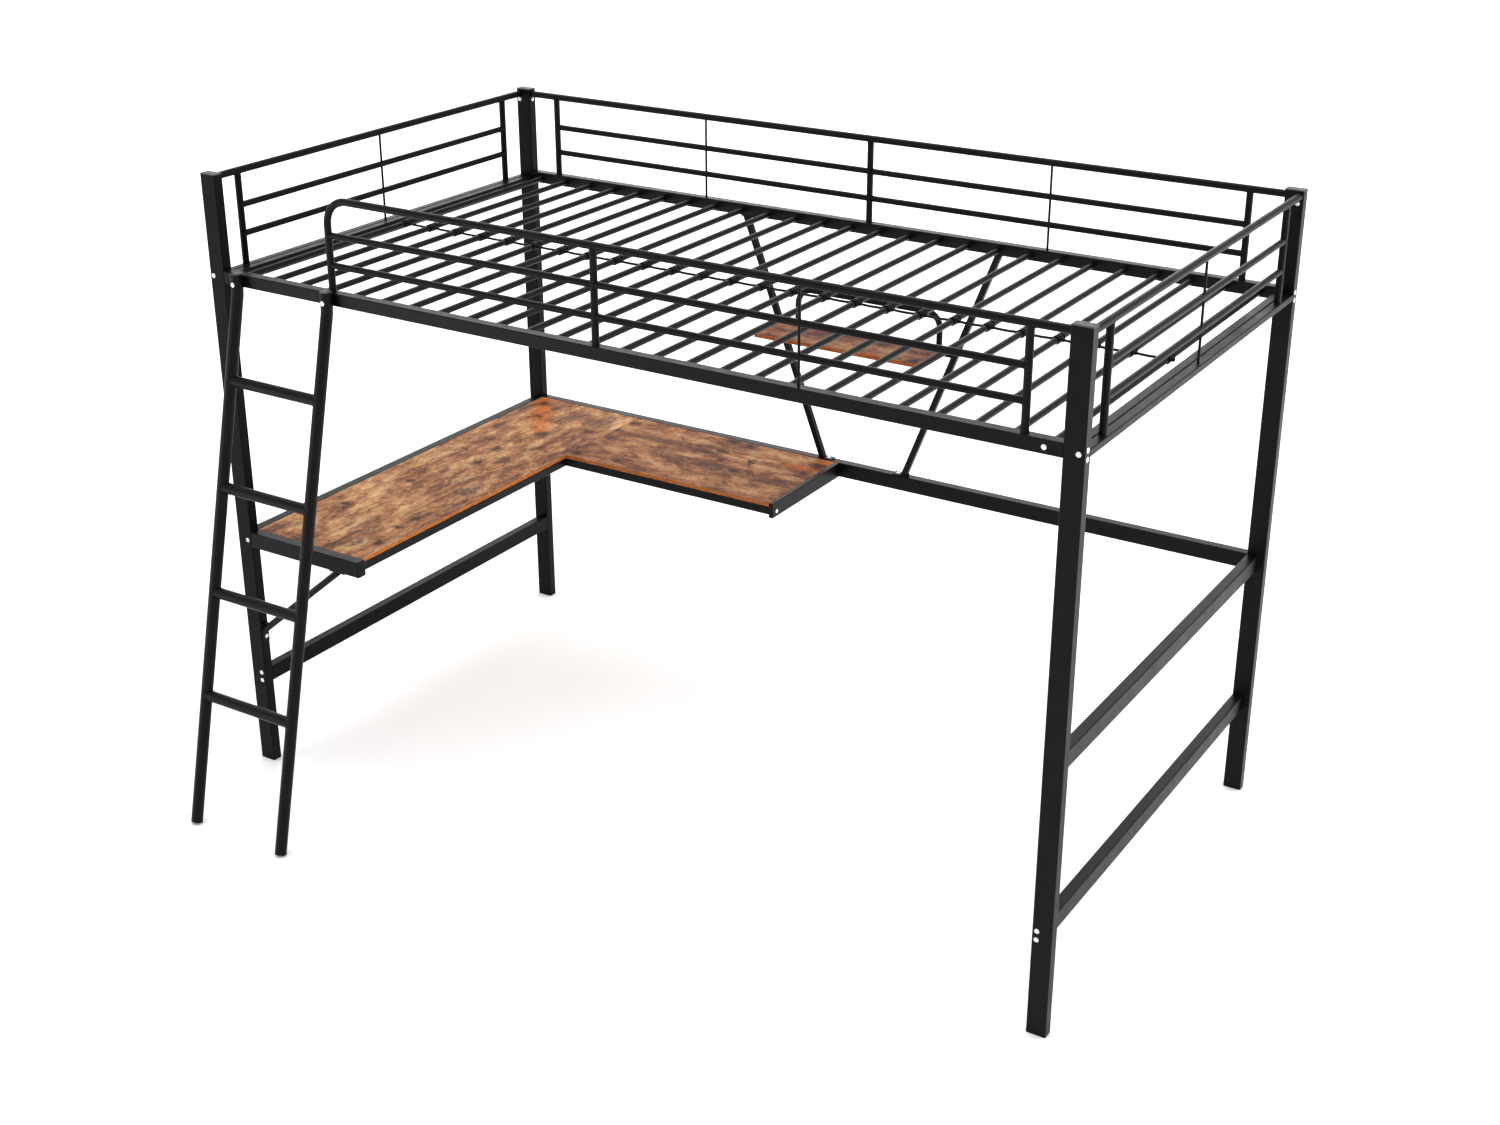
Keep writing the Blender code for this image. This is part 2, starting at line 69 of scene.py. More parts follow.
# ---------------------------------------------------------------- node trees
class Tree:
    """A material's node tree with short calls for the nodes used here."""

    def __init__(self, name):
        self.mat = bpy.data.materials.new(name)
        self.mat.use_nodes = True
        self.tree = self.mat.node_tree
        self.shader = self.tree.nodes["Principled BSDF"]
        self.object_coords = self.tree.nodes.new("ShaderNodeTexCoord").outputs["Object"]

    def feed(self, socket, value):
        if isinstance(value, bpy.types.NodeSocket):
            self.tree.links.new(value, socket)
        elif isinstance(value, (tuple, list)) and len(value) == 3 and socket.type == "RGBA":
            socket.default_value = (*value, 1.0)
        else:
            socket.default_value = value

    def math(self, operation, a, b=0.5, c=0.5):
        node = self.tree.nodes.new("ShaderNodeMath")
        node.operation = operation
        for socket, value in zip(node.inputs, (a, b, c)):
            self.feed(socket, value)
        return node.outputs[0]

    def vector(self, operation, a, b, c=(0.0, 0.0, 0.0)):
        node = self.tree.nodes.new("ShaderNodeVectorMath")
        node.operation = operation
        for socket, value in zip(node.inputs, (a, b, c)):
            self.feed(socket, value)
        return node.outputs["Value"] if operation == "LENGTH" else node.outputs["Vector"]

    def split(self, vector):
        node = self.tree.nodes.new("ShaderNodeSeparateXYZ")
        self.feed(node.inputs[0], vector)
        return node.outputs[0], node.outputs[1], node.outputs[2]

    def join(self, x, y, z):
        node = self.tree.nodes.new("ShaderNodeCombineXYZ")
        for socket, value in zip(node.inputs, (x, y, z)):
            self.feed(socket, value)
        return node.outputs[0]

    def noise(self, vector, scale=1.0, detail=2.0, roughness=0.5):
        node = self.tree.nodes.new("ShaderNodeTexNoise")
        self.feed(node.inputs["Vector"], vector)
        node.inputs["Scale"].default_value = scale
        node.inputs["Detail"].default_value = detail
        node.inputs["Roughness"].default_value = roughness
        return node.outputs["Fac"]

    def ease(self, value, lo, hi, out_lo=0.0, out_hi=1.0):
        node = self.tree.nodes.new("ShaderNodeMapRange")
        node.interpolation_type = "SMOOTHSTEP"
        self.feed(node.inputs["Value"], value)
        node.inputs["From Min"].default_value = lo
        node.inputs["From Max"].default_value = hi
        node.inputs["To Min"].default_value = out_lo
        node.inputs["To Max"].default_value = out_hi
        return node.outputs["Result"]

    def mix(self, factor, a, b, mode="MIX"):
        node = self.tree.nodes.new("ShaderNodeMix")
        node.data_type = "RGBA"
        node.blend_type = mode
        self.feed(node.inputs[0], factor)
        self.feed(node.inputs[6], a)
        self.feed(node.inputs[7], b)
        return node.outputs[2]

    def ramp(self, value, stops):
        node = self.tree.nodes.new("ShaderNodeValToRGB")
        self.feed(node.inputs[0], value)
        marks = node.color_ramp.elements
        while len(marks) < len(stops):
            marks.new(0.5)
        for mark, (position, colour) in zip(marks, stops):
            mark.position = position
            mark.color = (*colour, 1.0)
        return node.outputs[0]

    def bump(self, height, strength, distance, normal=None):
        node = self.tree.nodes.new("ShaderNodeBump")
        node.inputs["Strength"].default_value = strength
        node.inputs["Distance"].default_value = distance
        self.feed(node.inputs["Height"], height)
        if normal is not None:
            self.feed(node.inputs["Normal"], normal)
        return node.outputs[0]

    def normal(self):
        return self.tree.nodes.new("ShaderNodeNewGeometry").outputs["Normal"]

    def finish(self, **sockets):
        for name, value in sockets.items():
            self.feed(self.shader.inputs[name.replace("_", " ")], value)
        return self.mat


# ---------------------------------------------------------------- materials
def powder_coat(name, tone, offset, gloss):
    """Satin black powder coat: fine orange peel, faint mottling. offset moves the pattern."""
    t = Tree(name)
    place = t.vector("ADD", t.object_coords, (offset, offset * 0.7, offset * 1.3))
    mottle = t.noise(place, 34.0, 4.0, 0.6)
    peel = t.noise(place, 620.0, 2.0, 0.5)
    grit = t.noise(place, 1900.0, 1.0, 0.5)
    dark = tuple(v * 0.80 for v in tone)
    light = tuple(v * 1.25 for v in tone)
    colour = t.mix(t.ease(mottle, 0.35, 0.65), dark, light)
    rough = t.ease(mottle, 0.3, 0.7, 0.34, 0.42)
    soft = t.bump(peel, 0.16, 0.00022)
    fine = t.bump(grit, 0.10, 0.00008, soft)
    t.shader.inputs["Specular IOR Level"].default_value = gloss
    return t.finish(Base_Color=colour, Roughness=rough, Normal=fine)


def black_plastic(name, tone, rough_lo, rough_hi, grain, gloss=0.42):
    """Moulded black plastic with a fine spark-eroded grain."""
    t = Tree(name)
    cloud = t.noise(t.object_coords, 90.0, 3.0, 0.5)
    fine = t.noise(t.object_coords, grain, 2.0, 0.6)
    colour = t.mix(cloud, tuple(v * 0.75 for v in tone), tuple(v * 1.3 for v in tone))
    rough = t.ease(cloud, 0.3, 0.7, rough_lo, rough_hi)
    t.shader.inputs["Specular IOR Level"].default_value = gloss
    return t.finish(Base_Color=colour, Roughness=rough, Normal=t.bump(fine, 0.2, 0.0001))


def bright_metal(name):
    """Zinc plated bolt steel, lightly brushed by handling."""
    t = Tree(name)
    cloud = t.noise(t.object_coords, 260.0, 3.0, 0.6)
    brush = t.noise(t.vector("MULTIPLY", t.object_coords, (900.0, 900.0, 3800.0)), 1.0, 2.0)
    colour = t.mix(cloud, (0.78, 0.78, 0.79), (0.93, 0.93, 0.93))
    rough = t.ease(cloud, 0.3, 0.7, 0.20, 0.34)
    t.shader.inputs["Metallic"].default_value = 1.0
    return t.finish(Base_Color=colour, Roughness=rough, Normal=t.bump(brush, 0.06, 0.00005))


PALE = (0.620, 0.410, 0.200)
GOLD = (0.460, 0.258, 0.118)
TAN = (0.335, 0.156, 0.071)
MID = (0.230, 0.094, 0.044)
BROWN = (0.122, 0.049, 0.027)
UMBER = (0.060, 0.029, 0.020)
ASH = (0.062, 0.045, 0.035)
CHAR = (0.026, 0.018, 0.016)
RUST = (0.500, 0.120, 0.016)
EDGE = (0.560, 0.185, 0.048)


def laminate(name, along, seed, marks, seams=(), tone=(1.0, 1.0, 1.0)):
    """Rustic board: cloudy figure, broken streaks, weathered patches, knots and faint plank seams.

    along is the grain's axis. marks maps a kind to (grain, cross, half length, half width) ovals;
    seams are (cross, from, to) lines along the grain.
    """
    t = Tree(name)
    x, y, z = t.split(t.object_coords)
    g, c = (y, x) if along == "y" else (x, y)
    flat = t.join(g, c, seed)

    def offset(frequency, reach, shift):
        place = t.vector("MULTIPLY_ADD", flat, (frequency, frequency, 1.0), (shift, shift, shift))
        one = t.math("MULTIPLY", t.math("SUBTRACT", t.noise(place, 1.0, 3.0, 0.55), 0.5), reach)
        place = t.vector("ADD", place, (17.3, 5.1, 3.9))
        two = t.math("MULTIPLY", t.math("SUBTRACT", t.noise(place, 1.0, 3.0, 0.55), 0.5), reach)
        return t.join(one, two, 0.0)

    bent = t.vector("ADD", flat, offset(6.0, 0.040, 1.3))
    curly = t.vector("ADD", bent, offset(30.0, 0.010, 9.1))

    def layer(base, sg, sc, detail, roughness, shift=0.0):
        place = t.vector("MULTIPLY_ADD", base, (sg, sc, 1.0), (shift, shift, shift))
        return t.noise(place, 1.0, detail, roughness)

    broad = layer(bent, 7.0, 13.0, 4.0, 0.55, 3.1)
    cloud = layer(curly, 22.0, 44.0, 6.0, 0.62, 7.7)
    streak = layer(bent, 6.0, 120.0, 5.0, 0.62, 1.9)
    where = t.ease(layer(bent, 4.0, 14.0, 2.0, 0.5, 13.3), 0.42, 0.62)
    fibre = layer(curly, 46.0, 420.0, 4.0, 0.6, 5.3)
    fleck = layer(curly, 75.0, 120.0, 5.0, 0.7, 11.4)

    value = t.math("MULTIPLY_ADD", broad, 0.80, -0.7275)
    value = t.math("MULTIPLY_ADD", cloud, 0.72, value)
    broken = t.math("MULTIPLY", t.math("SUBTRACT", streak, 0.5), where)
    value = t.math("MULTIPLY_ADD", broken, 0.42, value)
    value = t.math("MULTIPLY_ADD", fibre, 0.34, value)
    value = t.math("MULTIPLY_ADD", fleck, 0.58, value)
    colour = t.ramp(value, ((0.22, UMBER), (0.345, BROWN), (0.44, MID), (0.53, TAN),
                            (0.64, GOLD), (0.80, PALE)))

    tatter = t.vector("MULTIPLY", offset(75.0, 0.046, 21.0), (1.0, 0.8, 0.0))
    ragged = t.vector("ADD", t.join(g, c, 0.0), tatter)

    def from_middle(kg, kc, half_g, half_c):
        """Ragged distance from an oval's middle, 1 at its outline."""
        away = t.vector("SUBTRACT", ragged, (kg, kc, 0.0))
        away = t.vector("MULTIPLY", away, (1 / half_g, 1 / half_c, 0.0))
        return t.vector("LENGTH", away, (0, 0, 0))

    def ovals(places, start, stop):
        total = 0.0
        for oval in places:
            total = t.math("MAXIMUM", t.ease(from_middle(*oval), start, stop, 1.0, 0.0), total)
        return total

    def lay(kind, start, stop, strength, paint, texture=None):
        nonlocal colour
        if kind in marks:
            amount = t.math("MULTIPLY", ovals(marks[kind], start, stop), strength)
            if texture is not None:
                amount = t.math("MULTIPLY", amount, texture)
            colour = t.mix(amount, colour, paint)

    lay("gold", 0.1, 1.2, 0.55, PALE, t.ease(cloud, 0.36, 0.54, 0.25, 1.0))
    lay("brown", 0.2, 1.2, 0.62, BROWN, t.ease(streak, 0.36, 0.62, 1.0, 0.35))
    weather = t.math("MULTIPLY", t.ease(layer(bent, 10.0, 22.0, 5.0, 0.62, 23.0), 0.55, 0.67), 0.45)
    colour = t.mix(t.math("MULTIPLY", weather, t.ease(fleck, 0.36, 0.56, 1.0, 0.45)), colour, ASH)
    lay("grey", 0.1, 1.25, 0.80, ASH, t.ease(fleck, 0.36, 0.60, 1.0, 0.35))
    lay("red", 0.2, 1.6, 0.80, RUST, t.ease(cloud, 0.38, 0.56, 0.45, 1.0))
    cracks = layer(curly, 9.0, 60.0, 4.0, 0.55, 31.0)
    cracks = t.math("ABSOLUTE", t.math("SUBTRACT", cracks, 0.5))
    cracks = t.math("MULTIPLY", t.ease(cracks, 0.002, 0.014, 1.0, 0.0),
                    t.ease(layer(bent, 12.0, 30.0, 2.0, 0.5, 37.0), 0.54, 0.62))
    colour = t.mix(t.math("MULTIPLY", cracks, 0.55), colour, CHAR)
    lay("knot", 0.6, 1.9, 0.66, BROWN)
    lay("knot", 0.25, 1.25, 0.94, CHAR, t.ease(fleck, 0.30, 0.66, 1.0, 0.75))
    if "rings" in marks:
        for oval in marks["rings"]:
            away = from_middle(*oval)
            wave = t.math("SINE", t.math("MULTIPLY", away, 34.0))
            ring = t.math("MULTIPLY", t.ease(wave, -0.2, 0.9), t.ease(away, 0.35, 1.0, 0.42, 0.0))
            colour = t.mix(ring, colour, BROWN)
    for cross, first, last in seams:
        line = t.ease(t.math("ABSOLUTE", t.math("SUBTRACT", c, cross)), 0.0004, 0.0015, 1.0, 0.0)
        line = t.math("MULTIPLY", line, t.ease(g, first, first + 0.03))
        line = t.math("MULTIPLY", line, t.ease(g, last - 0.03, last, 1.0, 0.0))
        colour = t.mix(t.math("MULTIPLY", line, 0.70), colour, UMBER)

    nz = t.math("ABSOLUTE", t.split(t.normal())[2])
    band = t.noise(t.join(t.math("MULTIPLY", g, 60.0), t.math("MULTIPLY", z, 900.0), c), 1.0, 4.0, 0.6)
    side = t.mix(t.ease(band, 0.38, 0.66), tuple(v * 0.45 for v in EDGE), EDGE)
    colour = t.mix(t.ease(nz, 0.35, 0.80), side, colour)
    colour = t.mix(1.0, colour, tone, "MULTIPLY")

    rough = t.ease(cloud, 0.3, 0.7, 0.48, 0.60)
    low = t.bump(cloud, 0.18, 0.0004)
    high = t.bump(fibre, 0.18, 0.0002, low)
    t.shader.inputs["Specular IOR Level"].default_value = 0.03
    return t.finish(Base_Color=colour, Roughness=rough, Normal=high)


STEEL = (0.0030, 0.0030, 0.0032)
coat = powder_coat("powder_coat", STEEL, 0.0, 0.090)
# painted shade: a copy of the powder coat with a lower specular level, so the left end's pieces read darker
# as if they stood in shade
coat_shaded_left = powder_coat("powder_coat_shaded_left", STEEL, 3.7, 0.055)
cap_plastic = black_plastic("cap_plastic", (0.020, 0.020, 0.020), 0.42, 0.55, 1400.0)
strap_plastic = black_plastic("strap_plastic", (0.0025, 0.0025, 0.0025), 0.34, 0.55, 900.0, 0.09)
zinc = bright_metal("zinc_bolt")

# the middle of the four posts lies behind the origin; the boards' marks are in world metres
MID_Y = (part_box("post_front_left")[0].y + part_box("post_back_left")[1].y) / 2

left_marks = {
    "knot": ((0.447, -0.787, 0.022, 0.015), (0.307, -0.817, 0.014, 0.012), (0.213, -0.800, 0.020, 0.012),
             (0.263, -0.880, 0.012, 0.010), (0.033, -0.862, 0.008, 0.013), (-0.150, -0.890, 0.010, 0.016),
             (-0.173, -0.880, 0.012, 0.009), (-0.133, -0.695, 0.018, 0.009), (-0.283, -0.677, 0.012, 0.010),
             (0.630, -0.917, 0.015, 0.012), (0.547, -0.873, 0.010, 0.010), (0.523, -0.700, 0.010, 0.020),
             (0.383, -0.662, 0.018, 0.009), (-0.193, -0.700, 0.007, 0.016), (0.345, -0.872, 0.006, 0.004)),
    "grey": ((0.560, -0.800, 0.045, 0.026), (0.613, -0.783, 0.030, 0.022), (0.060, -0.700, 0.070, 0.028),
             (-0.040, -0.667, 0.040, 0.024), (-0.307, -0.723, 0.060, 0.028), (0.600, -0.700, 0.070, 0.026),
             (-0.240, -0.735, 0.050, 0.020), (0.100, -0.760, 0.035, 0.012)),
    "red": ((0.640, -0.923, 0.030, 0.020), (0.593, -0.897, 0.040, 0.020), (0.547, -0.863, 0.036, 0.020),
            (0.507, -0.830, 0.034, 0.019), (0.467, -0.803, 0.028, 0.016)),
    "gold": ((0.213, -0.910, 0.120, 0.018), (-0.050, -0.880, 0.060, 0.022), (0.000, -0.915, 0.060, 0.020),
             (0.380, -0.755, 0.045, 0.020), (0.310, -0.730, 0.050, 0.018), (0.110, -0.765, 0.050, 0.016),
             (-0.230, -0.800, 0.070, 0.030), (-0.290, -0.890, 0.050, 0.030), (-0.140, -0.855, 0.050, 0.014)),
    "brown": ((0.227, -0.873, 0.020, 0.020), (0.107, -0.890, 0.034, 0.022), (0.420, -0.880, 0.060, 0.022),
              (0.490, -0.770, 0.030, 0.025), (-0.090, -0.735, 0.080, 0.020), (0.560, -0.725, 0.060, 0.022),
              (0.160, -0.875, 0.018, 0.018), (0.330, -0.890, 0.050, 0.010)),
    "rings": ((0.200, -0.697, 0.110, 0.045),),
}
left_seams = ((-0.657, -0.38, -0.06), (-0.697, -0.38, -0.24), (-0.672, 0.34, 0.67))
left_board = laminate("laminate_left", "y", 2.0, left_marks, left_seams)
back_marks = {
    "knot": ((-0.631, 0.632, 0.017, 0.012), (-0.340, 0.585, 0.014, 0.011), (-0.365, 0.562, 0.024, 0.008),
             (-0.242, 0.560, 0.008, 0.020), (-0.312, 0.532, 0.009, 0.010), (-0.098, 0.562, 0.014, 0.010),
             (-0.390, 0.502, 0.036, 0.004), (-0.245, 0.492, 0.016, 0.012), (-0.527, 0.397, 0.020, 0.008),
             (-0.632, 0.387, 0.012, 0.010), (-0.300, 0.645, 0.016, 0.015), (-0.355, 0.655, 0.022, 0.014),
             (-0.090, 0.625, 0.016, 0.014), (-0.645, 0.572, 0.016, 0.008)),
    "grey": ((-0.440, 0.492, 0.110, 0.014), (-0.280, 0.480, 0.090, 0.026), (-0.140, 0.470, 0.060, 0.014),
             (-0.330, 0.640, 0.070, 0.030), (-0.520, 0.568, 0.120, 0.016), (-0.215, 0.400, 0.030, 0.030),
             (-0.165, 0.435, 0.016, 0.024), (-0.160, 0.590, 0.050, 0.014)),
    "red": ((-0.088, 0.640, 0.022, 0.022), (-0.130, 0.590, 0.050, 0.014)),
    "gold": ((-0.435, 0.615, 0.090, 0.020), (-0.560, 0.605, 0.040, 0.014), (-0.175, 0.545, 0.060, 0.018),
             (-0.385, 0.535, 0.030, 0.012), (-0.420, 0.430, 0.060, 0.020), (-0.580, 0.460, 0.040, 0.018),
             (-0.260, 0.615, 0.040, 0.016), (-0.110, 0.520, 0.030, 0.020)),
    "brown": ((-0.560, 0.560, 0.090, 0.020), (-0.430, 0.550, 0.070, 0.022), (-0.200, 0.570, 0.090, 0.014),
              (-0.320, 0.430, 0.070, 0.018), (-0.450, 0.395, 0.120, 0.010), (-0.555, 0.650, 0.020, 0.024)),
}
back_seams = ((0.6675, -0.63, -0.09), (0.501, -0.46, -0.28))
back_board = laminate("laminate_back", "x", 9.0, back_marks, back_seams, (0.80, 0.73, 0.73))
shelf_marks = {
    "knot": ((0.075, 0.620, 0.018, 0.012), (0.190, 0.555, 0.014, 0.010), (-0.180, 0.546, 0.018, 0.008),
             (0.195, 0.612, 0.006, 0.014), (-0.070, 0.640, 0.014, 0.006)),
    "grey": ((0.060, 0.632, 0.060, 0.020), (-0.150, 0.645, 0.070, 0.016), (0.150, 0.550, 0.050, 0.012)),
    "gold": ((-0.130, 0.575, 0.050, 0.018), (0.120, 0.590, 0.050, 0.018), (0.010, 0.570, 0.050, 0.014)),
    "brown": ((-0.040, 0.620, 0.060, 0.030), (-0.190, 0.610, 0.030, 0.026)),
    "red": ((0.080, 0.547, 0.030, 0.010),),
}
shelf_board = laminate("laminate_shelf", "x", 15.0, shelf_marks, (), (0.66, 0.54, 0.55))


# ---------------------------------------------------------------- builders
def new_piece(name, bm, mat, replaced=(), sharp=35.0):
    """Put a finished mesh in the scene, shaded by angle, riding on the bed's one body."""
    bmesh.ops.recalc_face_normals(bm, faces=bm.faces)
    mesh = bpy.data.meshes.new(name)
    bm.to_mesh(mesh)
    bm.free()
    mesh.polygons.foreach_set("use_smooth", [True] * len(mesh.polygons))
    mesh.set_sharp_from_angle(angle=math.radians(sharp))
    mesh.materials.append(mat)
    obj = bpy.data.objects.new(name, mesh)
    bpy.context.scene.collection.objects.link(obj)
    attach(obj, "root")
    if replaced:
        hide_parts(*replaced)
    return obj


def skin(bm, rings, closed=False, caps=True):
    """Skin rings of points; closed joins the last ring to the first."""
    loops = [[bm.verts.new(p) for p in ring] for ring in rings]
    pairs = list(zip(loops, loops[1:]))
    if closed:
        pairs.append((loops[-1], loops[0]))
    count = len(loops[0])
    for a, b in pairs:
        for i in range(count):
            j = (i + 1) % count
            bm.faces.new((a[i], a[j], b[j], b[i]))
    if caps and not closed:
        bm.faces.new(list(reversed(loops[0])))
        bm.faces.new(loops[-1])


def rounded(width, height, radius, steps=6):
    """Outline of a rounded rectangle about the origin."""
    points = []
    for sx, sy, start in ((1, 1, 0), (-1, 1, 90), (-1, -1, 180), (1, -1, 270)):
        for i in range(steps + 1):
            a = math.radians(start + 90 * i / steps)
            points.append((sx * (width / 2 - radius) + radius * math.cos(a),
                           sy * (height / 2 - radius) + radius * math.sin(a)))
    return points


def plate_stack(bm, centre, u, v, n, width, height, radius, profile):
    """Stack rounded rectangles along n; profile gives (height along n, inset)."""
    rings = []
    for lift, inset in profile:
        outline = rounded(width - 2 * inset, height - 2 * inset, max(radius - inset, 0.0003))
        rings.append([centre + u * a + v * b + n * lift for a, b in outline])
    skin(bm, rings)


def around(normal):
    """Two axes square to a normal, and the normal."""
    n = Vector(normal).normalized()
    u = n.cross(Z if abs(n.z) < 0.9 else X).normalized()
    return u, n.cross(u).normalized(), n


BOLT_R = 0.0050
BOLT_SCALE = 0.88
BOLT_STEPS = 30


def bolt(bm, place, normal, turn, height):
    """Button head bolt on a thin washer, with a hexagon socket; height below 1 flattens the head."""
    u, v, n = around(normal)
    centre = Vector(place)

    def ring(radius, lift, hexagon=False):
        points = []
        for k in range(BOLT_STEPS):
            a = 2 * math.pi * k / BOLT_STEPS + turn
            r = radius
            if hexagon:
                fold = (math.degrees(a - turn) % 60.0) - 30.0
                r = radius / math.cos(math.radians(fold))
            points.append(centre + (u * math.cos(a) + v * math.sin(a)) * r * BOLT_SCALE
                          + n * lift * BOLT_SCALE * height)
        return points

    skin(bm, [ring(BOLT_R + 0.0007, -0.0004), ring(BOLT_R + 0.0007, 0.0003),
              ring(BOLT_R + 0.0005, 0.0006), ring(BOLT_R - 0.0002, 0.0006),
              ring(BOLT_R - 0.0002, 0.0009), ring(BOLT_R - 0.0006, 0.0017),
              ring(BOLT_R - 0.0016, 0.0025), ring(BOLT_R - 0.0027, 0.0029),
              ring(0.00225, 0.0030), ring(0.0019, 0.0028, True), ring(0.0018, 0.0013, True),
              ring(0.0006, 0.0010)])


BEAD_SIDES = 6
BEAD_RIPPLES = 9


def bead_on_curve(bm, points, size):
    """A closed weld bead along a closed curve of points, gently rippled."""
    count = len(points)
    rings = []
    middle = sum(points, Vector()) / count
    for i, p in enumerate(points):
        along = (points[(i + 1) % count] - points[i - 1]).normalized()
        out = p - middle
        out = (out - along * out.dot(along)).normalized()
        up = along.cross(out).normalized()
        r = size * (1.0 + 0.16 * math.sin(i * 2 * math.pi * BEAD_RIPPLES / count))
        rings.append([p + (out * math.cos(2 * math.pi * k / BEAD_SIDES)
                           + up * math.sin(2 * math.pi * k / BEAD_SIDES)) * r
                      for k in range(BEAD_SIDES)])
    skin(bm, rings, closed=True)


def bead_flat(bm, place, normal, radius, size=0.0011, steps=27):
    """Bead where a round bar meets a flat face."""
    u, v, n = around(normal)
    points = []
    for k in range(steps):
        a = 2 * math.pi * k / steps
        points.append(Vector(place) + (u * math.cos(a) + v * math.sin(a)) * radius)
    bead_on_curve(bm, points, size)


def bead_saddle(bm, place, main_axis, branch, main_r, branch_r, size, steps=27):
    """Bead where a round bar running along branch meets a round tube along main_axis."""
    b = Vector(branch).normalized()
    m = (Vector(main_axis) - b * Vector(main_axis).dot(b)).normalized()
    s = b.cross(m)
    points = []
    for k in range(steps):
        a = 2 * math.pi * k / steps
        offset = (m * math.cos(a) + s * math.sin(a)) * branch_r
        aside = offset.dot(s)
        reach = math.sqrt(max(main_r ** 2 - aside ** 2, 0.0))
        points.append(Vector(place) + offset + b * reach)
    bead_on_curve(bm, points, size)


# ---------------------------------------------------------------- carried-over CAD nodes
# left-end posts, rails and guard that take the painted-shade copy of the coat (lower specular, so they read
# darker)
SHADED_LEFT_PIECES = ("post_front_left", "post_back_left", "left_lower_stretcher", "desk_left_rail",
              "left_end_rail", "left_guard")
for node_name, obj in nodes.items():
    look = coat_shaded_left if node_name in SHADED_LEFT_PIECES else coat
    if node_name == "desk_panel_left":
        look = left_board
    elif node_name == "desk_panel_back":
        look = back_board
    elif node_name == "shelf_board":
        look = shelf_board
    elif node_name.startswith("post_cap"):
        look = cap_plastic
    elif node_name == "slat_strap":
        look = strap_plastic
    for material_slot in obj.material_slots:
        material_slot.material = look

# ---------------------------------------------------------------- post caps
CAP_CORNER_R = 0.0030
for row in ("front", "back"):
    for side in ("left", "right"):
        name = "post_cap_%s_%s" % (row, side)
        lo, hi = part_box(name)
        tall = hi.z - lo.z
        bm = bmesh.new()
        plate_stack(bm, Vector(((lo.x + hi.x) / 2, (lo.y + hi.y) / 2, lo.z)), X, Y, Z,
                    hi.x - lo.x, hi.y - lo.y, CAP_CORNER_R,
                    ((0.0, 0.0002), (0.0002, 0.0), (tall - 0.0013, 0.0), (tall - 0.0009, 0.0001),
                     (tall - 0.0005, 0.0005), (tall - 0.0003, 0.0010), (tall - 0.0001, 0.0025),
                     (tall, 0.0060)))
        new_piece(name + "_moulded", bm, cap_plastic, [name])

# ---------------------------------------------------------------- slat strap
SLATS = 26
SLAT_R = 0.0065
STRAP_DROP = 0.0012       # the cords run this much below the slats' middles
CORD_R = 0.0027
CORD_SAG = 0.0012
CORD_END = 0.0092         # distance from a slat's middle to the end of its cord
HUB_X = 0.0078            # distance from a slat's middle to the root of a cord's hub
slat_boxes = [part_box("slat_%02d" % (i + 1)) for i in range(SLATS)]
strap_lo, strap_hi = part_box("slat_strap")
strap_y = (strap_lo.y + strap_hi.y) / 2
half_clip = (strap_hi.y - strap_lo.y) / 2
slat_z = (slat_boxes[0][0].z + slat_boxes[0][1].z) / 2
slat_xs = [(lo.x + hi.x) / 2 for lo, hi in slat_boxes]
# the sleeve's outline: (distance along the slat, radius)
sleeve = ((-half_clip, SLAT_R + 0.0002), (-half_clip, 0.0084), (-half_clip + 0.0005, 0.0090),
          (-half_clip + 0.0036, 0.0090), (-half_clip + 0.0042, 0.0080), (-0.0052, 0.0080),
          (-0.0044, 0.0089), (0.0044, 0.0089), (0.0052, 0.0080), (half_clip - 0.0042, 0.0080),
          (half_clip - 0.0036, 0.0090), (half_clip - 0.0005, 0.0090), (half_clip, 0.0084),
          (half_clip, SLAT_R + 0.0002))
bm = bmesh.new()
for sx in slat_xs:
    rings = []
    for along, radius in sleeve:
        rings.append([Vector((sx + radius * math.cos(2 * math.pi * k / 28), strap_y + along,
                              slat_z + radius * math.sin(2 * math.pi * k / 28))) for k in range(28)])
    skin(bm, rings, closed=True)
    for sign in (-1, 1):
        hub = Vector((sx + sign * HUB_X, strap_y, slat_z - STRAP_DROP))
        rings = []
        for reach, radius in ((0.0, 0.0044), (0.0020, 0.0044), (0.0040, 0.0038), (0.0052, 0.0026)):
            rings.append([hub + X * sign * reach + (Y * math.cos(2 * math.pi * k / 14)
                          + Z * math.sin(2 * math.pi * k / 14)) * radius for k in range(14)])
        skin(bm, rings)
new_piece("slat_strap_clips", bm, strap_plastic, ["slat_strap"])

bm = bmesh.new()
for a, b in zip(slat_xs, slat_xs[1:]):
    lo, hi = a + CORD_END, b - CORD_END
    rings = []
    for k in range(17):
        s = k / 16
        sag = CORD_SAG * 4 * s * (1 - s)
        slope = CORD_SAG * 4 * (1 - 2 * s) / (hi - lo)
        up = Vector((slope, 0, 1)).normalized()
        middle = Vector((lo + (hi - lo) * s, strap_y, slat_z - STRAP_DROP - sag))
        rings.append([middle + (Y * math.cos(2 * math.pi * j / 10)
                      + up * math.sin(2 * math.pi * j / 10)) * CORD_R for j in range(10)])
    skin(bm, rings)
new_piece("slat_strap_cords", bm, strap_plastic)

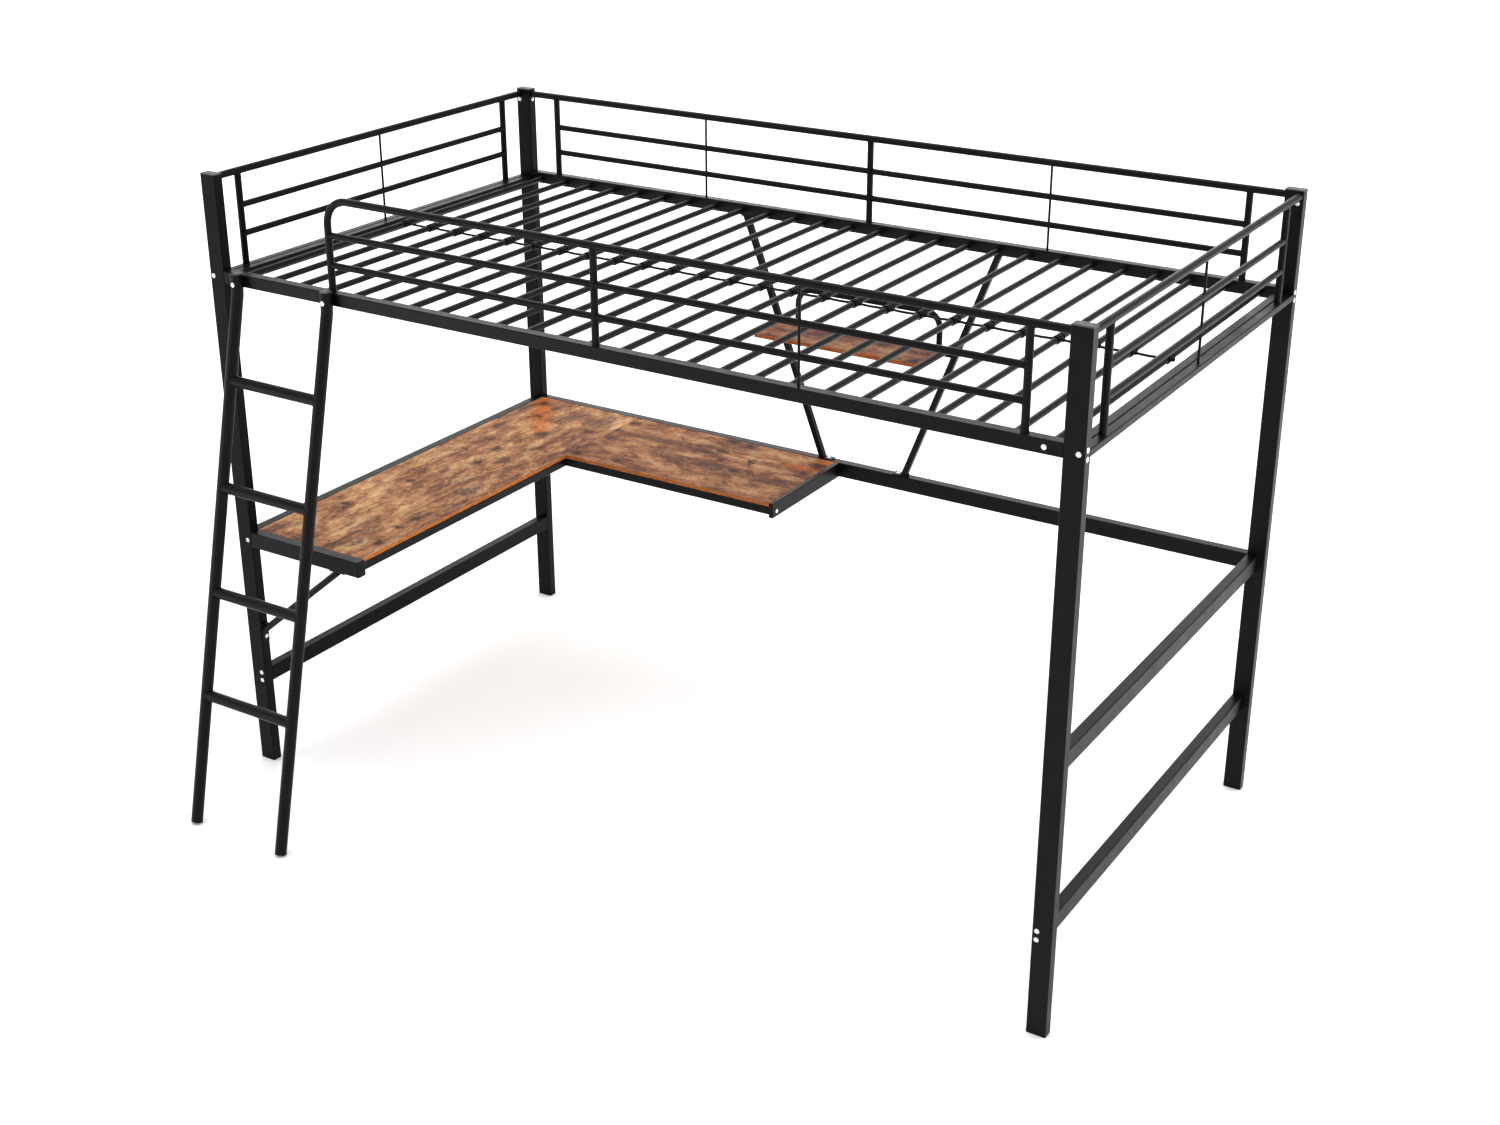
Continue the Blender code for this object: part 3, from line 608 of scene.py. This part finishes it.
# ---------------------------------------------------------------- plugs in open tube ends
PLUG_LIP = 0.0006         # the plug is this much wider than the bar
PLUG_CORNER_R = 0.0026
bar_lo, bar_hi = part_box("desk_front_bar")
bm = bmesh.new()
plate_stack(bm, Vector((bar_hi.x, (bar_lo.y + bar_hi.y) / 2, (bar_lo.z + bar_hi.z) / 2)), Y, Z, X,
            bar_hi.y - bar_lo.y + PLUG_LIP, bar_hi.z - bar_lo.z + PLUG_LIP, PLUG_CORNER_R,
            ((0.0002, 0.0003), (0.0004, 0.0), (0.0016, 0.0), (0.0022, 0.0003), (0.0026, 0.0012),
             (0.0028, 0.0030)))
new_piece("front_bar_plug", bm, strap_plastic)

ladder_lo, ladder_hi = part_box("ladder")
STILE_R = 0.0128
GAP = 0.0003              # between pieces that touch
stile_xs = (ladder_lo.x + STILE_R, ladder_hi.x - STILE_R)
stile_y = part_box("post_front_left")[0].y - GAP - STILE_R
bm = bmesh.new()
for sx in stile_xs:
    rings = []
    for lift, radius in ((0.0, 0.0126), (0.0003, 0.0129), (0.0011, 0.0129), (0.0016, 0.0125),
                         (0.0021, 0.0109), (0.0023, 0.0072)):
        rings.append([Vector((sx + radius * math.cos(2 * math.pi * k / 32),
                              stile_y + radius * math.sin(2 * math.pi * k / 32),
                              ladder_hi.z + lift)) for k in range(32)])
    skin(bm, rings)
new_piece("ladder_plugs", bm, cap_plastic)

# ---------------------------------------------------------------- welds
LADDER_FOOT_Y = -0.8325 + MID_Y
LADDER_SLOPE = 0.2437     # run of the ladder per unit of rise
RUNG_R = 0.0122
RUNG_ZS = (0.2863, 0.5113, 0.7355, 0.959)
WELD_SHARP = 80           # degrees
stile_axis = Vector((0, LADDER_SLOPE, 1)).normalized()
bm = bmesh.new()
for rz in RUNG_ZS:
    for sx, sign in zip(stile_xs, (1, -1)):
        spot = (sx, LADDER_FOOT_Y + LADDER_SLOPE * rz, rz)
        bead_saddle(bm, spot, stile_axis, X * sign, STILE_R, RUNG_R, 0.0014, 45)
new_piece("ladder_welds", bm, coat, sharp=WELD_SHARP)

BAR_ZS = (1.2925, 1.2305)
GUARD_Z = 1.3665
GUARD_R = 0.0077
UPRIGHT_R = 0.0074
BAR_R = 0.0068
END_FOOT_TOP = 1.1640     # top of the end guards' foot tubes
END_UPRIGHT_Y = 0.446
LONG_UPRIGHT_X = 0.8805
FRONT_GUARD_X = -0.6585   # bent end of the front guard
TOP_BEAD = 0.0010
BAR_BEAD = 0.0009
for side in ("left", "right"):
    lo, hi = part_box(side + "_guard")
    gx = (lo.x + hi.x) / 2
    bm = bmesh.new()
    for sign in (-1, 1):
        uy = sign * END_UPRIGHT_Y + MID_Y
        bead_flat(bm, (gx, uy, END_FOOT_TOP), Z, UPRIGHT_R)
        bead_saddle(bm, (gx, uy, GUARD_Z), Y, -Z, GUARD_R, UPRIGHT_R, TOP_BEAD)
        for bz in BAR_ZS:
            bead_saddle(bm, (gx, uy, bz), Z, -Y * sign, UPRIGHT_R, BAR_R, BAR_BEAD)
    new_piece(side + "_guard_welds", bm, coat, sharp=WELD_SHARP)

deck_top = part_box("front_side_rail")[1].z
right_end = (LONG_UPRIGHT_X, UPRIGHT_R, -1)
for row, uprights, ends in (("back", (-LONG_UPRIGHT_X, 0.0, LONG_UPRIGHT_X),
                             ((-LONG_UPRIGHT_X, UPRIGHT_R, 1), right_end)),
                            ("front", (0.0, LONG_UPRIGHT_X),
                             ((FRONT_GUARD_X, GUARD_R, 1), right_end))):
    lo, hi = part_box(row + "_side_rail")
    gy = (lo.y + hi.y) / 2
    bm = bmesh.new()
    for ux in uprights:
        bead_flat(bm, (ux, gy, deck_top), Z, UPRIGHT_R)
        bead_saddle(bm, (ux, gy, GUARD_Z), X, -Z, GUARD_R, UPRIGHT_R, TOP_BEAD)
    if row == "front":
        bead_flat(bm, (FRONT_GUARD_X, gy, deck_top), Z, GUARD_R)
    for ux, radius, sign in ends:
        for bz in BAR_ZS:
            bead_saddle(bm, (ux, gy, bz), Z, X * sign, radius, BAR_R, BAR_BEAD)
    for bz in BAR_ZS:
        for sign in (-1, 1):
            bead_saddle(bm, (0.0, gy, bz), Z, X * sign, UPRIGHT_R, BAR_R, BAR_BEAD)
    new_piece(row + "_guard_welds", bm, coat, sharp=WELD_SHARP)

for row, sign in (("front", -1), ("back", 1)):
    bm = bmesh.new()
    lo, hi = slat_boxes[0]
    wall = (lo.y if sign < 0 else hi.y) - sign * 0.0002
    for sx in slat_xs:
        bead_flat(bm, (sx, wall, slat_z), Y, SLAT_R, 0.0010, 21)
    new_piece("slat_welds_" + row, bm, coat, sharp=WELD_SHARP)

# ---------------------------------------------------------------- bolts
bolt_spots = []


def on_face(node, axis, side, *spots):
    """Bolts on one face of a node; spots give the other two coordinates in axis order."""
    lo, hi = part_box(node)
    level = (lo, hi)[side > 0][axis]
    for a, b in spots:
        place = {0: (level, a, b), 1: (a, level, b), 2: (a, b, level)}[axis]
        normal = [0, 0, 0]
        normal[axis] = side
        bolt_spots.append((place, tuple(normal)))


FRONT_Y = (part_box("post_front_left")[0].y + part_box("post_front_left")[1].y) / 2
BACK_Y = (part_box("post_back_left")[0].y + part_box("post_back_left")[1].y) / 2
on_face("post_front_left", 1, -1, (-0.9855, 1.161), (-0.9665, 0.5564), (-0.9665, 0.2261),
        (-0.9665, 0.2068))
on_face("post_front_right", 1, -1, (0.9834, 1.1602), (0.9647, 0.2255), (0.9646, 0.2070))
on_face("post_back_left", 1, 1, (-0.9855, 1.161), (-0.9665, 0.5564), (-0.9665, 0.2261),
        (-0.9665, 0.2068))
on_face("post_back_right", 1, 1, (0.9834, 1.1602), (0.9665, 0.5564), (0.9647, 0.2255),
        (0.9646, 0.2070))
for post, y in (("front", FRONT_Y), ("back", BACK_Y)):
    on_face("post_%s_right" % post, 0, 1, (y, 1.1660), (y, 1.1495))
    on_face("post_%s_left" % post, 0, -1, (y, 1.1660), (y, 1.1495))
on_face("post_back_left", 1, -1, (-0.9860, 1.3530))
on_face("post_back_left", 0, 1, (BACK_Y, 1.3536))
on_face("post_back_right", 1, -1, (0.9830, 1.3524))
on_face("front_side_rail", 1, -1, (0.9213, 1.161))
on_face("desk_right_bar", 0, 1, (0.2284 + MID_Y, 0.5542))
bolt_spots.append(((-0.9517, -0.5285 + MID_Y, 0.3180), (1, 0, 0)))
for sx in (-0.0955, 0.0955):
    bolt_spots.append(((sx, BACK_Y, 0.5793), (0, 0, 1)))
for sx in stile_xs:
    bolt_spots.append(((sx, stile_y - STILE_R + 0.0003, 1.159), (0, -1, 0)))

bm = bmesh.new()
for i, (place, normal) in enumerate(bolt_spots):
    # heads on the posts' outermost faces are flat, so they stay inside the bed's own box
    outward = abs(normal[0]) * abs(place[0]) > 0.99 or (normal[1] > 0 and place[1] > BACK_Y)
    bolt(bm, place, normal, 0.37 * i, 0.2 if outward else 1.0)
new_piece("bolts", bm, zinc, sharp=28)

# ---------------------------------------------------------------- stage and light
bm = bmesh.new()
bmesh.ops.create_grid(bm, x_segments=1, y_segments=1, size=90.0)
floor_mesh = bpy.data.meshes.new("floor")
bm.to_mesh(floor_mesh)
bm.free()
floor = bpy.data.objects.new("floor", floor_mesh)
floor.location = (0.0, 0.0, -0.0006)
bpy.context.scene.collection.objects.link(floor)
t = Tree("floor_paper")
t.shader.inputs["Roughness"].default_value = 0.9
t.shader.inputs["Specular IOR Level"].default_value = 0.1
floor_mesh.materials.append(t.finish(Base_Color=(0.93, 0.93, 0.93)))

world = bpy.data.worlds.new("studio")
bpy.context.scene.world = world
world.use_nodes = True
world.node_tree.nodes["Background"].inputs[0].default_value = (1.0, 1.0, 1.0, 1.0)
world.node_tree.nodes["Background"].inputs[1].default_value = 1.00


def softbox(name, place, target, width, height, power):
    """A soft rectangular lamp, unseen by the camera."""
    lamp = bpy.data.lights.new(name, "AREA")
    lamp.shape = "RECTANGLE"
    lamp.size = width
    lamp.size_y = height
    lamp.energy = power
    obj = bpy.data.objects.new(name, lamp)
    obj.location = place
    obj.rotation_euler = (Vector(target) - Vector(place)).to_track_quat("-Z", "Y").to_euler()
    obj.visible_camera = False
    bpy.context.scene.collection.objects.link(obj)


softbox("back_sheet", (-3.4, 6.4, 2.6), (0, 0, 0.9), 7.0, 3.4, 130.0)
softbox("right_back", (4.2, 2.6, 0.9), (0.9, 0.1, 0.9), 2.2, 2.6, 100.0)
softbox("front_left", (-2.4, -2.9, 0.7), (-1.0, -0.4, 0.7), 1.2, 1.2, 16.0)

sun = bpy.data.lights.new("sky_panel", "SUN")
sun.energy = 2.0
sun.angle = math.radians(70)
sun_obj = bpy.data.objects.new("sky_panel", sun)
sun_obj.rotation_euler = (math.radians(-14), math.radians(-10), 0.0)
bpy.context.scene.collection.objects.link(sun_obj)

scene = bpy.context.scene
scene.view_settings.view_transform = "Standard"
scene.view_settings.look = "None"
